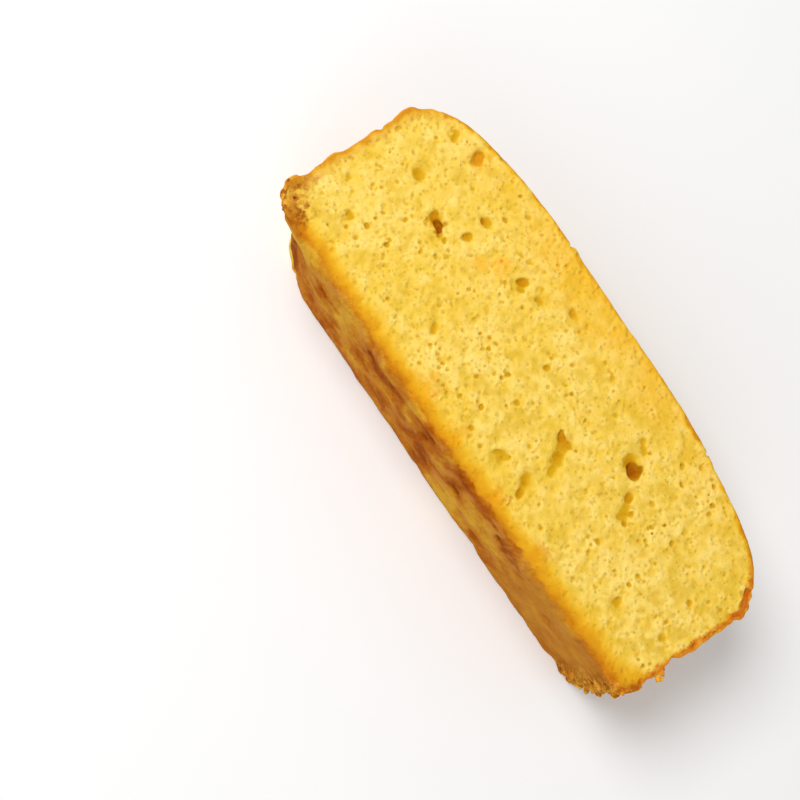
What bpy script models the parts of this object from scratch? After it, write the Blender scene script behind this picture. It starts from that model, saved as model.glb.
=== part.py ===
"""A slice of sponge cake, lying on one of its two cut faces. Metres, +Z up.

X runs along the slice, from one tin side to the other. Y runs from the base crust at -Y to the domed
top crust at +Y. Z is the thickness of the slice, between its two cut faces.
"""

import math
import random

import bmesh
import bpy
from mathutils import Matrix, Vector, noise

MM = 0.001

# The slice as a whole
LENGTH = 120.6 * MM
CAKE_HEIGHT = 44.5 * MM
THICKNESS = 36.8 * MM
HALF = LENGTH / 2

# The outline that the tin and the rise of the cake gave it
RIM_HEIGHT = 28 * MM  # the batter stood against the tin up to here
DOME_POWER_LEFT = 3.1  # of the superellipse that the top follows, the left half being the fuller one
DOME_POWER_RIGHT = 2.7
WALL_IN_LEFT = 1.0 * MM  # how far the left end leans in, from the base to the rim
WALL_OUT_RIGHT = 1.3 * MM  # how far the right end leans out
LIP_LEFT = 0.3 * MM  # the top bulges over the rim by this much
LIP_RIGHT = 1.2 * MM
LIP_HEIGHT = 30.5 * MM
LIP_SPREAD = 3.0 * MM
BASE_CORNER = 3.2 * MM
FLOOR_CORNER = 14.2 * MM  # the left corner of the base is rounder towards the lower cut face
CORNER_POWER = 0.55  # below 1: most of that rounding is reached near the upper cut face
FLARE_RIGHT = 1.6 * MM  # and the right end stands out further there
BASE_BOW = 0.6 * MM

# The mesh of the sides
COARSE = 2.6 * MM  # spacing of points along the base and the top
FINE = 1.3 * MM  # spacing along the ends
LEVELS = 15
CUT_ROUND = 1.0 * MM  # the rounding between the sides and the cut faces

# Relief: (height, size of its bumps)
BASE_RELIEF = (0.30 * MM, 6.0 * MM)
TOP_RELIEF = (0.28 * MM, 11.0 * MM)
END_RELIEF = (0.55 * MM, 2.6 * MM)

# The bubbles that show in the upper cut face: along the slice, up from the base, radius, all in mm, then
# how far the bubble is drawn out, towards which angle in degrees, and how deep its middle lies in radii
HOLES = (
    (-38.0, 23.7, 1.9, 1.3, 0, 0.35),
    (-32.3, 27.3, 1.2, 1.2, 60, 0.1),
    (-32.5, 32.3, 1.5, 1.0, 0, -0.3),
    (-48.0, 26.2, 1.7, 1.0, 0, -0.3),
    (-43.7, 38.0, 1.4, 1.4, 120, 0.3),
    (-50.0, 36.6, 0.9, 1.7, 110, 0.4),
    (-18.6, 30.9, 1.3, 1.5, 140, 0.2),
    (-14.2, 32.2, 1.0, 1.3, 10, 0.0),
    (-7.6, 36.2, 1.3, 1.4, 160, 0.3),
    (-48.8, 10.3, 1.1, 1.1, 0, 0.1),
    (-21.6, 11.2, 0.9, 1.6, 130, 0.0),
    (11.8, 19.2, 1.4, 1.3, 120, 0.4),
    (14.0, 16.2, 1.5, 1.8, 125, -0.1),
    (8.3, 13.6, 0.9, 1.0, 0, 0.2),
    (6.3, 7.7, 1.7, 1.1, 90, -0.2),
    (14.0, 8.4, 1.3, 1.7, 115, 0.0),
    (22.3, 32.7, 1.2, 1.7, 145, 0.1),
    (25.0, 28.0, 1.7, 1.0, 0, 0.5),
    (22.5, 27.8, 1.1, 1.2, 120, 0.0),
    (28.4, 24.3, 1.0, 1.3, 120, 0.2),
    (30.6, 21.4, 1.0, 1.8, 120, -0.1),
    (32.2, 40.3, 0.8, 1.0, 0, 0.2),
    (52.5, 22.5, 0.8, 1.2, 0, 0.1),
    (57.6, 32.4, 0.8, 2.6, 118, 0.3),
)
SMALL_BUBBLES = 46  # in each cut face
SMALL_RADII = (0.65 * MM, 1.15 * MM)
SMALL_APART = 3.4 * MM
RIM_OF_CRUMB = 3.5 * MM  # no small bubble lies nearer to the outline

# Crumbs that cling where a corner of the crust broke: along the slice, up from the base, above the floor
CRUMBS = (
    (-59.8, 3.6, 35.2),
    (-58.8, 1.6, 32.6),
    (-57.6, 0.8, 35.4),
    (-56.4, 2.8, 25.0),
    (-60.0, 5.6, 34.4),
    (59.2, 2.2, 28.6),
    (59.0, 1.2, 19.4),
    (59.7, 2.6, 11.6),
    (59.0, 0.9, 6.2),
    (59.0, 3.0, 33.6),
    (60.0, 9.6, 34.6),
    (60.0, 8.4, 31.0),
    (57.0, 37.0, 34.8),
    (60.6, 33.0, 22.4),
)
CRUMB_RADII = (1.0 * MM, 1.7 * MM)

SEED = 11
CRUMB_COLOUR = (0.89, 0.62, 0.10, 1.0)


def dome_power(x):
    return DOME_POWER_RIGHT if x > 0 else DOME_POWER_LEFT


def dome_height(x):
    """The height of the top crust at x."""
    power = dome_power(x)
    return RIM_HEIGHT + (CAKE_HEIGHT - RIM_HEIGHT) * (1 - abs(x / HALF) ** power) ** (1 / power)


def dome_point(angle):
    """A point of the dome, the angle running from 0 at +X to pi at -X."""
    c = math.cos(angle)
    x = math.copysign(abs(c) ** (2 / dome_power(c)), c) * HALF
    return Vector((x, dome_height(x)))


def lip(y, bulge):
    """How far the side stands out at height y, where the top spilled over the rim of the tin."""
    return bulge * math.exp(-(((y - LIP_HEIGHT) / LIP_SPREAD) ** 2))


def corner(centre, start, end, steps=8):
    """Points of a rounded corner of the base, the angles in degrees."""
    return [
        centre + Vector((math.cos(a), math.sin(a))) * BASE_CORNER
        for a in (math.radians(start + (end - start) * i / steps) for i in range(steps + 1))
    ]


def closed_outline():
    """The outline of the slice, anticlockwise from the left end of its base, with y from 0 at the base."""
    steps = 40
    inner = HALF - BASE_CORNER
    right_foot = HALF - WALL_OUT_RIGHT
    base = [
        Vector((x, -BASE_BOW * (1 - (x / inner) ** 2)))
        for x in (-inner + 2 * inner * i / steps for i in range(steps + 1))
    ]
    wall_heights = [BASE_CORNER + (RIM_HEIGHT - BASE_CORNER) * i / steps for i in range(1, steps)]
    right = [
        Vector((right_foot + WALL_OUT_RIGHT * y / RIM_HEIGHT + lip(y, LIP_RIGHT), y)) for y in wall_heights
    ]
    left = [
        Vector((-HALF + WALL_IN_LEFT * y / RIM_HEIGHT - lip(y, LIP_LEFT), y)) for y in reversed(wall_heights)
    ]
    dome = []
    for i in range(4 * steps + 1):
        angle = math.pi * i / (4 * steps)
        point = dome_point(angle)
        if point.x > 0:
            point.x += lip(point.y, LIP_RIGHT)
        else:
            point.x += WALL_IN_LEFT * (point.x / HALF) ** 4 - lip(point.y, LIP_LEFT)
        dome.append(point)
    right_corner = corner(Vector((right_foot - BASE_CORNER, BASE_CORNER)), -90, 0)
    left_corner = corner(Vector((-inner, BASE_CORNER)), 180, 270)
    return base[:-3] + right_corner + right + dome + left + left_corner[:-1]


def is_end(point):
    """1 on the two ends of the slice, 0 on its base and its top, with a short change between."""
    return min(1.0, max(0.0, (abs(point.x) - (HALF - 4 * MM)) / (3 * MM)))


def spaced(points):
    """The closed outline again, its points COARSE apart along the base and top and FINE apart at the ends."""
    found = [points[0]]
    run = 0.0
    for a, b in zip(points, points[1:] + points[:1]):
        pieces = 8
        for i in range(pieces):
            here = a.lerp(b, (i + 1) / pieces)
            run += (b - a).length / pieces
            step = COARSE + (FINE - COARSE) * is_end(here)
            if run >= step:
                found.append(here)
                run = 0.0
    if (found[-1] - found[0]).length < FINE / 2:
        found.pop()
    return found


def relief(point, z):
    """How far the crust stands out at this place, from soft dents in the base to crags on the ends."""
    end = is_end(point)
    low = min(1.0, max(0.0, 1 - point.y / (8 * MM)))
    total = 0.0
    for share, (height, size) in (
        (end, END_RELIEF),
        ((1 - end) * low, BASE_RELIEF),
        ((1 - end) * (1 - low), TOP_RELIEF),
    ):
        place = Vector((point.x, point.y, z)) / size
        total += share * height * (noise.noise(place) + 0.4 * noise.noise(place * 2.3))
    return total


def at_height(point, z):
    """The outline's point at height z: the two ends aren't the same at the lower cut face as at the upper."""
    low = max(0.0, 1 - z / THICKNESS)
    radius = BASE_CORNER + (FLOOR_CORNER - BASE_CORNER) * low**CORNER_POWER
    centre = Vector((radius - HALF, radius))
    if point.x < centre.x and point.y < centre.y:
        return centre + (point - centre).normalized() * radius
    if point.x > 0:
        return Vector((point.x + FLARE_RIGHT * low * is_end(point), point.y))
    return point


def shell_level(k):
    """(height, inset) of level k of the sides: the first and last levels round off towards the cut faces."""
    rounding = ((0.0, 1.0), (0.3, 0.3), (1.0, 0.0))
    count = len(rounding)
    if k < count:
        return rounding[k][0] * CUT_ROUND, rounding[k][1] * CUT_ROUND
    if k >= LEVELS - count:
        up, inset = rounding[LEVELS - 1 - k]
        return THICKNESS - up * CUT_ROUND, inset * CUT_ROUND
    share = (k - count + 1) / (LEVELS - 2 * count + 1)
    return CUT_ROUND + share * (THICKNESS - 2 * CUT_ROUND), 0.0


def linked(name, mesh):
    obj = bpy.data.objects.new(name, mesh)
    bpy.context.scene.collection.objects.link(obj)
    return obj


def slice_body(points):
    """The slice before its bubbles: rings of points joined by faces, with a flat cap at each cut face."""
    bm = bmesh.new()
    count = len(points)
    outwards = []
    for i, point in enumerate(points):
        along = points[(i + 1) % count] - points[i - 1]
        outwards.append(Vector((along.y, -along.x)).normalized())
    rings = []
    for k in range(LEVELS):
        z, inset = shell_level(k)
        ring = []
        for point, out in zip(points, outwards):
            place = at_height(point, z) + out * (relief(point, z) - inset)
            ring.append(bm.verts.new((place.x, place.y, z)))
        rings.append(ring)
    for lower, upper in zip(rings, rings[1:]):
        for i in range(count):
            j = (i + 1) % count
            bm.faces.new((lower[i], lower[j], upper[j], upper[i]))
    bm.faces.new(list(reversed(rings[0])))
    bm.faces.new(rings[-1])
    bmesh.ops.triangulate(bm, faces=bm.faces[:])
    mesh = bpy.data.meshes.new("sponge_cake")
    bm.to_mesh(mesh)
    bm.free()
    return linked("sponge_cake", mesh)


def lump(name, centre, size, stretch, angle, roundness, uneven, drawn):
    """An uneven ball: a bubble of the crumb, or a crumb of the crust."""
    bm = bmesh.new()
    bmesh.ops.create_icosphere(bm, subdivisions=roundness, radius=size)
    turn = Vector((drawn.uniform(-9, 9), drawn.uniform(-9, 9), drawn.uniform(-9, 9)))
    for vert in bm.verts:
        vert.co *= 1 + uneven * noise.noise(vert.co / size + turn)
        vert.co.x *= stretch
    bmesh.ops.rotate(bm, verts=bm.verts, matrix=Matrix.Rotation(angle, 3, "Z"))
    bmesh.ops.translate(bm, verts=bm.verts, vec=centre)
    mesh = bpy.data.meshes.new(name)
    bm.to_mesh(mesh)
    bm.free()
    return bpy.data.objects.new(name, mesh)


def scattered(count, drawn, taken):
    """Places for small bubbles in one cut face, kept apart from each other and from the ones taken."""
    found = []
    while len(found) < count:
        x = drawn.uniform(-HALF + RIM_OF_CRUMB, HALF - RIM_OF_CRUMB)
        y = drawn.uniform(RIM_OF_CRUMB, CAKE_HEIGHT - RIM_OF_CRUMB)
        if y > dome_height(x) - RIM_OF_CRUMB:
            continue
        if all((x - a) ** 2 + (y - b) ** 2 > SMALL_APART**2 for a, b in taken + found):
            found.append((x, y))
    return found


def bubbles(drawn):
    """The bubbles that the knife opened, as balls that reach into the two cut faces."""
    made = []
    for i, (x, y, size, stretch, angle, depth) in enumerate(HOLES):
        size *= MM
        centre = Vector((x * MM, y * MM, THICKNESS - depth * size))
        roundness = 2 if size > 1.1 * MM else 1
        made.append(lump(f"hole_{i}", centre, size, stretch, math.radians(angle), roundness, 0.35, drawn))
    taken = [(x * MM, y * MM) for x, y, *_ in HOLES]
    for level, near in ((THICKNESS, taken), (0.0, [])):
        for x, y in scattered(SMALL_BUBBLES, drawn, near):
            size = drawn.uniform(*SMALL_RADII)
            deep = drawn.uniform(-0.1, 0.4) * size
            centre = Vector((x, y, level - deep if level else deep))
            stretch = drawn.uniform(1.0, 1.5)
            angle = drawn.uniform(0, math.pi)
            made.append(lump("small_bubble", centre, size, stretch, angle, 1, 0.3, drawn))
    return made


def crumbs(drawn):
    """The crumbs at the broken corners of the crust, sunk halfway into the slice."""
    made = []
    for x, y, z in CRUMBS:
        size = drawn.uniform(*CRUMB_RADII)
        centre = Vector((x, y, z)) * MM
        made.append(lump("crumb", centre, size, 1.2, drawn.uniform(0, math.pi), 2, 0.5, drawn))
    return made


def combine(body, others, operation, solver):
    """Cuts the others from the body, or joins them to it, and removes them."""
    group = bpy.data.collections.new("helpers")
    bpy.context.scene.collection.children.link(group)
    for obj in others:
        obj.hide_render = True
        obj.display_type = "WIRE"
        group.objects.link(obj)
    modifier = body.modifiers.new(operation.lower(), "BOOLEAN")
    modifier.operation = operation
    modifier.operand_type = "COLLECTION"
    modifier.collection = group
    modifier.solver = solver
    bpy.context.view_layer.update()
    evaluated = body.evaluated_get(bpy.context.evaluated_depsgraph_get())
    mesh = bpy.data.meshes.new_from_object(evaluated)
    body.modifiers.remove(modifier)
    body.data = mesh
    for obj in others:
        bpy.data.objects.remove(obj)
    bpy.data.collections.remove(group)


def centre_on_floor(body):
    """Moves the mesh so that the origin is the middle of the underside of its bounding box."""
    corners = [vert.co for vert in body.data.vertices]
    low = Vector(min(c[i] for c in corners) for i in range(3))
    high = Vector(max(c[i] for c in corners) for i in range(3))
    shift = -(low + high) / 2
    shift.z = -low.z
    for vert in body.data.vertices:
        vert.co += shift


def crumb_material():
    material = bpy.data.materials.new("sponge")
    material.use_nodes = True
    shader = material.node_tree.nodes["Principled BSDF"]
    shader.inputs["Base Color"].default_value = CRUMB_COLOUR
    shader.inputs["Roughness"].default_value = 0.9
    shader.inputs["Metallic"].default_value = 0.0
    return material


def main():
    for obj in list(bpy.data.objects):
        bpy.data.objects.remove(obj)
    drawn = random.Random(SEED)
    body = slice_body(spaced(closed_outline()))
    combine(body, crumbs(drawn), "UNION", "EXACT")
    combine(body, bubbles(drawn), "DIFFERENCE", "EXACT")
    centre_on_floor(body)
    body.data.name = body.name
    body.data.materials.clear()
    body.data.materials.append(crumb_material())
    body.data.shade_smooth()
    body.data.set_sharp_from_angle(angle=math.radians(40))


main()
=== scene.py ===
"""A slice of plain sponge cake, lying on one of its two cut faces with the other one up.

The slice is worked out as a field on a grid: its distance outwards from the crust, the cut faces and
the walls of the bubbles. The field's zero surface is the mesh. Shapes are in mm up to that mesh, with
x along the slice, y up from the base crust and z up from the floor, and the scene is in metres.
"""

import math

import bpy
import numpy as np
import openvdb
from mathutils import Matrix, Vector


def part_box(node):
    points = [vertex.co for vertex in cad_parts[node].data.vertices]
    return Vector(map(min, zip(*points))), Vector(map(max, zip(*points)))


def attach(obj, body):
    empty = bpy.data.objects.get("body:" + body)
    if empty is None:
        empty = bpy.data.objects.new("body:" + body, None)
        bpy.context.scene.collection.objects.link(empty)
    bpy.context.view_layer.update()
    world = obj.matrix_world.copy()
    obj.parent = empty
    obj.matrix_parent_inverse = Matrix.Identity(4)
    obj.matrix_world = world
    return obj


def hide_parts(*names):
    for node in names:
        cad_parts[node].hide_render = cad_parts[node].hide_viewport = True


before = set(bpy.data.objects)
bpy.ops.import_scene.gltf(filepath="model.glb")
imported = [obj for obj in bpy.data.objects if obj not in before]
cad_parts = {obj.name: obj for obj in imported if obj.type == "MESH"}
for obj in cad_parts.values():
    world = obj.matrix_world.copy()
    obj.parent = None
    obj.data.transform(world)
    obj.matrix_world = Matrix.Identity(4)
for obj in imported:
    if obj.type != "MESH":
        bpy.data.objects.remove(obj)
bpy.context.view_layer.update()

MM = 0.001
BODY = "root"
NODE = "sponge_cake"
SEED = 5

# The slice as a whole, as the CAD has it
LENGTH = 120.6
CAKE_HEIGHT = 44.5
THICKNESS = 36.8
HALF = LENGTH / 2
RIM_HEIGHT = 28.0
DOME_POWER_LEFT = 3.1
DOME_POWER_RIGHT = 2.7
WALL_IN_LEFT = 1.0
WALL_OUT_RIGHT = 1.3
LIP_LEFT = 0.3
LIP_RIGHT = 1.2
LIP_HEIGHT = 30.5
LIP_SPREAD = 3.0
BASE_CORNER = 3.2
FLOOR_CORNER = 14.2
CORNER_POWER = 0.55
FLARE_RIGHT = 1.6
BASE_BOW = 0.6
OUTLINE_STEPS = 40
PLAN_CENTRE = (0.918, 21.944)  # where the middle of the CAD box lies in this plan

# The grid and the mesh
CELL = 0.27
MARGIN = 1.0
HEIGHT_SPANS = (  # from and to which height, and the grid's step between them
    (-MARGIN, 3.0, 0.35),
    (3.0, THICKNESS - 5.0, 0.5),
    (THICKNESS - 5.0, THICKNESS + MARGIN, 0.22),
)
TRIANGLE_SHARES = (  # from and to which height, and how many triangles between them
    (THICKNESS - 3.0, THICKNESS + 1, 121_000),
    (3.0, THICKNESS - 3.0, 45_000),
    (-1.0, 3.0, 23_000),
)
BOX_GAP = 0.05  # the crags are trimmed this far inside the CAD box
SKIN = 0.25  # the upper cut face lies this far inside the box
LOWER_SKIN = 0.05  # and the lower one this far
NO_BALL = 3.0  # the value of a field of balls far from all of them
DEEPEST = -3.0  # the slice's field goes no lower than this

# The widths over which two fields are rounded off where they meet
RIM_WEAR = 1.0
BASE_RIM_WEAR = 2.8  # more, along the base
LOWER_RIM_WEAR = 0.5
HOLLOW_RIM = 0.8
PORE_RIM = 0.3
DEEPEST_RIM = 0.1
CRUMB_JOIN = 0.3

# Layers of noise, each an amount and the size of its bumps
DENTS = ((0.55, 1.5), (0.45, 0.75))
DENT_DEPTH = 0.2
END_CRAGS = ((0.3, 2.6), (0.3, 1.2))
BASE_BUMPS = ((0.32, (5.5, 5, 4.5)), (0.2, 2.1), (0.08, 0.9))
TOP_BUMPS = ((0.28, 11), (0.1, 3.5), (0.05, 1.4))
RAGGED = ((1.0, 1.7), (0.35, 0.9))
PORE_WALLS = ((0.13, 1.0), (0.1, 0.5))
HOLLOW_WALLS = ((0.16, 1.2), (0.12, 0.6))

# The crust: how far it stands out at the ends, and its folds and furrows
END_REACH_RIGHT = 0.5
END_REACH_LEFT = 0.25
FURROW_PAST = 1.8  # the furrow at the left end lies this far outside the rounded corner
FURROW_WIDTH = 0.9
FURROW_DEPTH = 0.45
FOLD_START = -34.0  # where the fold over the dome starts at the floor
FOLD_DRIFT = 13.0  # and how much further right it ends at the top
FOLD_SWAY = 2.2
FOLD_TURNS = 7.5
FOLD_DEPTH = 0.6
LEDGE_HEIGHT = 0.35
WRINKLE_DEPTH = 0.3
TORN_AT = 0.45  # the torn bit on the fold, as a share of the thickness
NOTCH_DEPTH = 0.9
NOTCHES = ((1.0, 13, 1.2), (0.3, 6.0, 1.3))  # share, height over the base, spread
FOOT_TRIM = 1.5  # how much the left base corner draws in toward the floor
FLOOR_EDGE = ((0.35, 41, 8), (-1.0, 56.5, 2.6))  # share, along the slice, spread

# Small bubbles of each cut face: how many, and their least and largest radius
UPPER_BUBBLES = ((5200, 0.22, 0.42), (220, 0.4, 0.66))
LOWER_BUBBLES = ((1600, 0.3, 0.55), (400, 0.5, 0.9))
CRUST_PITS = 2600
CRUST_PIT_SIZE = 0.28
PITS_OFF_THE_ENDS = 0.08
SMALL_HOLE = 0.65  # named bubbles up to this radius have a sharp rim

# The bubbles that show in the upper cut face: along the slice, up from the base, radius, then how far
# the bubble is drawn out, towards which angle in degrees, and how deep its middle lies in radii
HOLES = (
    (-38.8, 23.9, 1.4, 1.2, 10, -0.05),
    (-37.3, 23.7, 1.3, 1.2, -20, 0.8),
    (-35.7, 22.9, 0.6, 2.0, -20, 0.3),
    (-32.3, 27.3, 0.9, 1.4, 70, 0.3),
    (-32.5, 32.3, 1.5, 1.0, 0, -0.35),
    (-48.0, 26.2, 1.9, 1.0, 0, -0.4),
    (-43.9, 38.2, 1.3, 1.3, 120, 0.1),
    (-50.0, 36.8, 0.7, 1.9, 110, 0.4),
    (-51.2, 37.2, 0.5, 1.0, 0, 0.3),
    (-18.8, 31.2, 1.0, 1.3, 60, 0.3),
    (-17.9, 30.2, 0.7, 1.5, 10, 0.5),
    (-14.0, 32.2, 0.8, 1.5, 10, 0.0),
    (-14.6, 28.4, 0.6, 1.0, 0, 0.4),
    (-7.8, 36.4, 1.0, 1.3, 160, 0.3),
    (-6.2, 36.2, 0.5, 2.2, 170, 0.1),
    (-48.8, 10.4, 0.8, 1.2, 20, 0.3),
    (-21.4, 11.3, 0.7, 1.8, 130, 0.3),
    (-54.8, 14.2, 0.7, 1.0, 0, 0.0),
    (-28.7, 39.8, 0.6, 1.2, 0, 0.2),
    (-11.9, 18.0, 0.5, 1.2, 0, 0.2),
    (-5.7, 18.2, 0.5, 1.4, 20, 0.4),
    (10.9, 19.9, 0.9, 1.2, 0, 0.4),
    (12.6, 20.2, 0.8, 1.5, 10, 0.3),
    (12.2, 18.9, 2.1, 1.0, 0, -0.45),
    (13.4, 17.0, 1.9, 1.4, 125, -0.35),
    (14.6, 14.6, 1.1, 1.4, 125, 0.0),
    (14.6, 20.9, 0.4, 1.0, 0, 0.9),
    (-5.5, 18.1, 0.4, 1.8, 60, 0.8),
    (-3.1, 27.4, 0.35, 1.0, 0, 0.6),
    (-57.0, 3.1, 0.45, 1.0, 0, 0.8),
    (-45.3, 14.0, 0.4, 1.8, 60, 0.5),
    (9.9, 20.6, 0.6, 1.3, 0, 0.8),
    (8.3, 13.6, 0.7, 1.2, 20, 0.2),
    (6.4, 7.6, 2.1, 1.1, 60, -0.45),
    (6.1, 6.8, 0.7, 1.4, 20, 0.2),
    (7.6, 8.6, 0.6, 1.0, 0, 0.2),
    (13.3, 9.0, 1.7, 1.4, 115, -0.3),
    (14.7, 6.8, 0.9, 1.4, 115, 0.3),
    (21.0, 33.4, 0.7, 1.5, 145, 0.3),
    (22.4, 32.6, 0.8, 1.4, 145, 0.1),
    (24.7, 28.2, 1.7, 1.1, 0, 0.45),
    (22.5, 28.8, 2.0, 1.4, 110, -0.4),
    (28.3, 24.4, 0.9, 1.4, 120, 0.3),
    (30.2, 21.6, 1.6, 1.8, 120, -0.3),
    (31.2, 22.8, 0.5, 1.3, 100, 0.2),
    (29.3, 14.6, 0.5, 1.2, 0, 0.2),
    (31.5, 14.1, 0.6, 1.4, 0, 0.2),
    (32.3, 40.4, 0.6, 1.0, 0, 0.2),
    (36.9, 40.4, 0.6, 1.1, 0, 0.1),
    (39.8, 37.9, 0.6, 1.1, 0, 0.1),
    (43.2, 10.0, 1.3, 1.2, 60, -0.4),
    (42.2, 14.3, 0.6, 1.2, 0, 0.1),
    (52.4, 22.5, 0.7, 1.2, 0, 0.2),
    (54.8, 13.8, 0.9, 1.2, 0, -0.1),
    (49.4, 21.2, 0.7, 1.0, 0, 0.0),
    (57.9, 33.4, 0.6, 2.0, 118, 0.4),
    (59.2, 31.0, 0.5, 2.4, 118, 0.4),
)

# The bubbles burst in the base crust: along the slice, how far below the upper cut face, radius
BASE_HOLES = (
    (-55.5, 3.0, 1.0),
    (-40.0, 13.0, 1.2),
    (-24.0, 8.0, 1.3),
    (-15.5, 14.0, 0.9),
    (-3.5, 5.5, 1.0),
    (-4.5, 12.0, 0.8),
    (8.5, 17.5, 1.5),
    (21.5, 29.0, 1.2),
    (21.0, 9.0, 0.9),
    (26.5, 12.0, 1.0),
    (41.5, 16.0, 0.8),
    (46.0, 4.0, 0.9),
    (55.0, 7.0, 0.8),
)

# How the base crust is browned: along the slice, below the upper cut face, reach along and down, and
# how much browner than the rest, or below 0 how much more golden
STAINS = (
    (-46.0, 7.0, 9.0, 9.0, -1.0),
    (-31.0, 5.0, 5.0, 7.0, -0.9),
    (-31.0, 18.0, 5.0, 8.0, -0.5),
    (-11.0, 5.0, 4.0, 5.0, -0.7),
    (17.0, 19.0, 6.0, 7.0, -0.8),
    (14.0, 31.0, 8.0, 5.0, -1.0),
    (29.0, 31.0, 4.0, 5.0, -0.5),
    (-55.5, 1.5, 3.0, 3.5, 1.3),
    (-40.0, 12.5, 2.2, 5.0, 1.1),
    (-24.0, 8.0, 2.4, 5.0, 1.1),
    (-16.5, 11.0, 4.0, 8.0, 0.8),
    (-14.0, 24.0, 4.0, 8.0, 0.6),
    (-36.0, 29.0, 6.0, 4.0, 0.4),
    (-25.0, 33.0, 5.0, 4.0, 0.5),
    (-4.0, 8.0, 3.0, 7.0, 1.2),
    (-1.0, 28.0, 4.0, 8.0, 0.7),
    (7.5, 4.0, 3.0, 4.0, 0.8),
    (8.5, 17.5, 2.6, 4.0, 1.2),
    (23.5, 10.0, 4.0, 3.5, 0.9),
    (20.5, 28.0, 2.6, 3.0, 1.0),
    (30.0, 21.0, 3.0, 3.0, 0.5),
    (46.0, 4.0, 3.0, 5.0, 0.8),
    (42.0, 17.0, 2.0, 4.0, 0.6),
    (36.0, 34.0, 6.0, 3.0, 0.5),
    (55.0, 8.0, 2.5, 6.0, 0.8),
)

# Where the crumb is tinted, and where painted shade darkens some of the named bubbles: along the slice, up
# from the base, reach, share, colour
TINTS_AND_BUBBLE_SHADE = (
    (-24.0, 29.0, 3.4, 0.7, (236, 174, 48)),
    (-26.5, 26.5, 2.0, 0.6, (236, 174, 48)),
    # the next five: painted shade inside named bubbles
    (-43.9, 38.2, 2.2, 0.8, (216, 144, 26)),
    (-38.6, 23.9, 2.0, 0.7, (206, 138, 14)),
    (-36.9, 23.4, 1.4, 0.8, (150, 78, 4)),
    (11.6, 20.3, 1.6, 0.7, (196, 138, 22)),
    (24.6, 28.2, 1.6, 0.7, (160, 88, 10)),
    (-59.4, 5.4, 4.0, 0.8, (184, 108, 30)),
    (-55.2, 1.6, 4.0, 0.8, (176, 98, 26)),
    (-59.8, 4.4, 3.0, 0.95, (150, 78, 14)),
    (-54.2, 0.9, 3.2, 0.95, (140, 64, 10)),
    (-57.2, 2.0, 2.0, 0.6, (208, 142, 48)),
    (-60.0, 7.4, 1.8, 0.6, (208, 142, 48)),
    (-12.6, 3.4, 4.0, 0.6, (226, 158, 20)),
    (-2.2, 2.6, 3.0, 0.6, (226, 158, 20)),
    (12.6, 2.6, 3.0, 0.6, (222, 152, 22)),
    (26.4, 2.6, 3.6, 0.55, (216, 146, 24)),
)

# Where crumbs hang on: along the slice, up from the base, up from the floor, spread, how many lumps
CRUMBS = (
    (59.3, 9.6, 34.6, 1.1, 9),
    (60.6, 9.9, 34.9, 0.9, 9),
    (60.6, 8.9, 34.9, 0.9, 9),
    (58.4, 36.8, 35.4, 0.6, 6),
    (58.2, 0.3, 34.5, 0.9, 9),
    (60.2, 1.3, 27.0, 0.9, 12),
    (61.0, 1.0, 21.5, 1.0, 10),
    (61.3, 1.0, 15.5, 1.0, 10),
    (61.4, 1.0, 9.5, 0.9, 12),
    (61.0, 0.4, 6.0, 0.9, 12),
    (60.6, 0.0, 2.5, 0.8, 10),
    (-58.0, 1.6, 34.8, 0.8, 9),
    (-58.8, 4.4, 34.6, 0.9, 12),
    (-59.0, 5.8, 34.9, 0.6, 6),
    (-59.1, 8.8, 34.9, 0.6, 6),
    (-56.4, 0.4, 34.4, 0.7, 7),
)

# Colours as they show on a screen, 0 to 255. Those of a ramp stand with their places on it
CRUMB = (233, 197, 80)
PALE_CRUMB = (238, 207, 106)
# painted shade for the low spots of the dents, painted highlight for the high spots between them
DENT_SHADE = (214, 173, 44)
RIDGE_HIGHLIGHT = (244, 215, 124)
# painted shade in the tear at the right end
TEAR_SHADE = (184, 78, 10)
# painted shade inside the bubbles, darker with depth below the cut face
BUBBLE_SHADE = ((0.05, (226, 187, 52)), (0.14, (210, 165, 30)), (0.30, (198, 138, 12)), (0.60, (166, 90, 6)))
BROWNED = ((0.08, (200, 128, 18)), (0.28, (216, 156, 28)), (0.45, (226, 176, 40)), (0.65, (232, 190, 60)))
RIGHT_RIM = ((0.35, (188, 100, 20)), (0.55, (216, 134, 34)), (0.7, (232, 160, 52)))
BASE_CRUST = (
    (0.20, (142, 66, 4)),
    (0.36, (168, 86, 8)),
    (0.50, (186, 112, 24)),
    (0.62, (200, 136, 34)),
    (0.74, (212, 158, 44)),
)
TOP_CRUST = ((0.20, (176, 96, 14)), (0.38, (206, 136, 28)), (0.52, (220, 156, 40)), (0.72, (228, 172, 58)))
END_CRUST = ((0.3, (176, 98, 16)), (0.5, (212, 138, 32)), (0.7, (232, 168, 56)))

# Where the photograph's view is taken from, in mm in the plan and above the upper cut face, and what
# is right, down and forward in it
CAMERA_PLACE = (-24.739, -51.829, 244.774)
CAMERA_AXES = (
    (0.56765, 0.80181, 0.18681),
    (0.82211, -0.56415, -0.07673),
    (0.04388, 0.19714, -0.97940),
)
LIT_POINT = (0, 0, 0.02)  # what both lights aim at, in metres


def smooth_max(a, b, width):
    """The larger of two fields, rounded off over this width where they meet."""
    h = np.clip(0.5 + 0.5 * (a - b) / width, 0, 1)
    return b + (a - b) * h + width * h * (1 - h)


def smooth_step(value, low, high):
    """0 up to the low value, 1 from the high one on, and smooth between them."""
    t = np.clip((value - low) / (high - low), 0, 1)
    return t * t * (3 - 2 * t)


def near(value, middle, spread):
    """1 at this value, falling smoothly to 0."""
    return np.exp(-(((value - middle) / spread) ** 2))


def dome_power(x):
    return DOME_POWER_RIGHT if x > 0 else DOME_POWER_LEFT


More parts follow.
